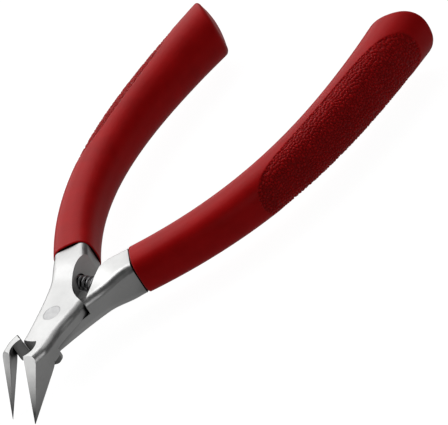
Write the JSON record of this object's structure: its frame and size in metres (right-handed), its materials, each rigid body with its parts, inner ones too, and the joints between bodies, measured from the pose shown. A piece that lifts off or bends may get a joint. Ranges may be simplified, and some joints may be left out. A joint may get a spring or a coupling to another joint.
{
  "type": "sprue nippers",
  "caption": "Spring-loaded sprue nippers with angled pointed jaws, a riveted lap joint and soft grips that widen towards their ends.",
  "frame": {"origin": "on the pivot axis, in the plane of the flat upper face of the joint", "axes": "+Z along the pivot axis, out of the joint's upper face; +Y from the jaws to the handles; +X to the right handle"},
  "size_m": [0.0834, 0.1342, 0.018],
  "materials": {
    "forged_steel": "satin",
    "rivet_steel": "ground flush",
    "spring_steel": "dark drawn wire",
    "red_sleeve": "satin, grained on the outer flank"
  },
  "bodies": {
    "upper": {"upper_half": "forged_steel", "pivot_rivet": "rivet_steel", "left_grip": "red_sleeve", "return_spring": "spring_steel"},
    "lower": {"lower_half": "forged_steel", "right_grip": "red_sleeve"}
  },
  "joints": [
    {"name": "pivot", "type": "hinge", "parent": "upper", "child": "lower", "pos_m": [0, 0, 0], "axis": [0, 0, 1], "range_deg": [0, 20], "stiffness_Nm_per_rad": 1, "deforming": ["return_spring"]}
  ]
}
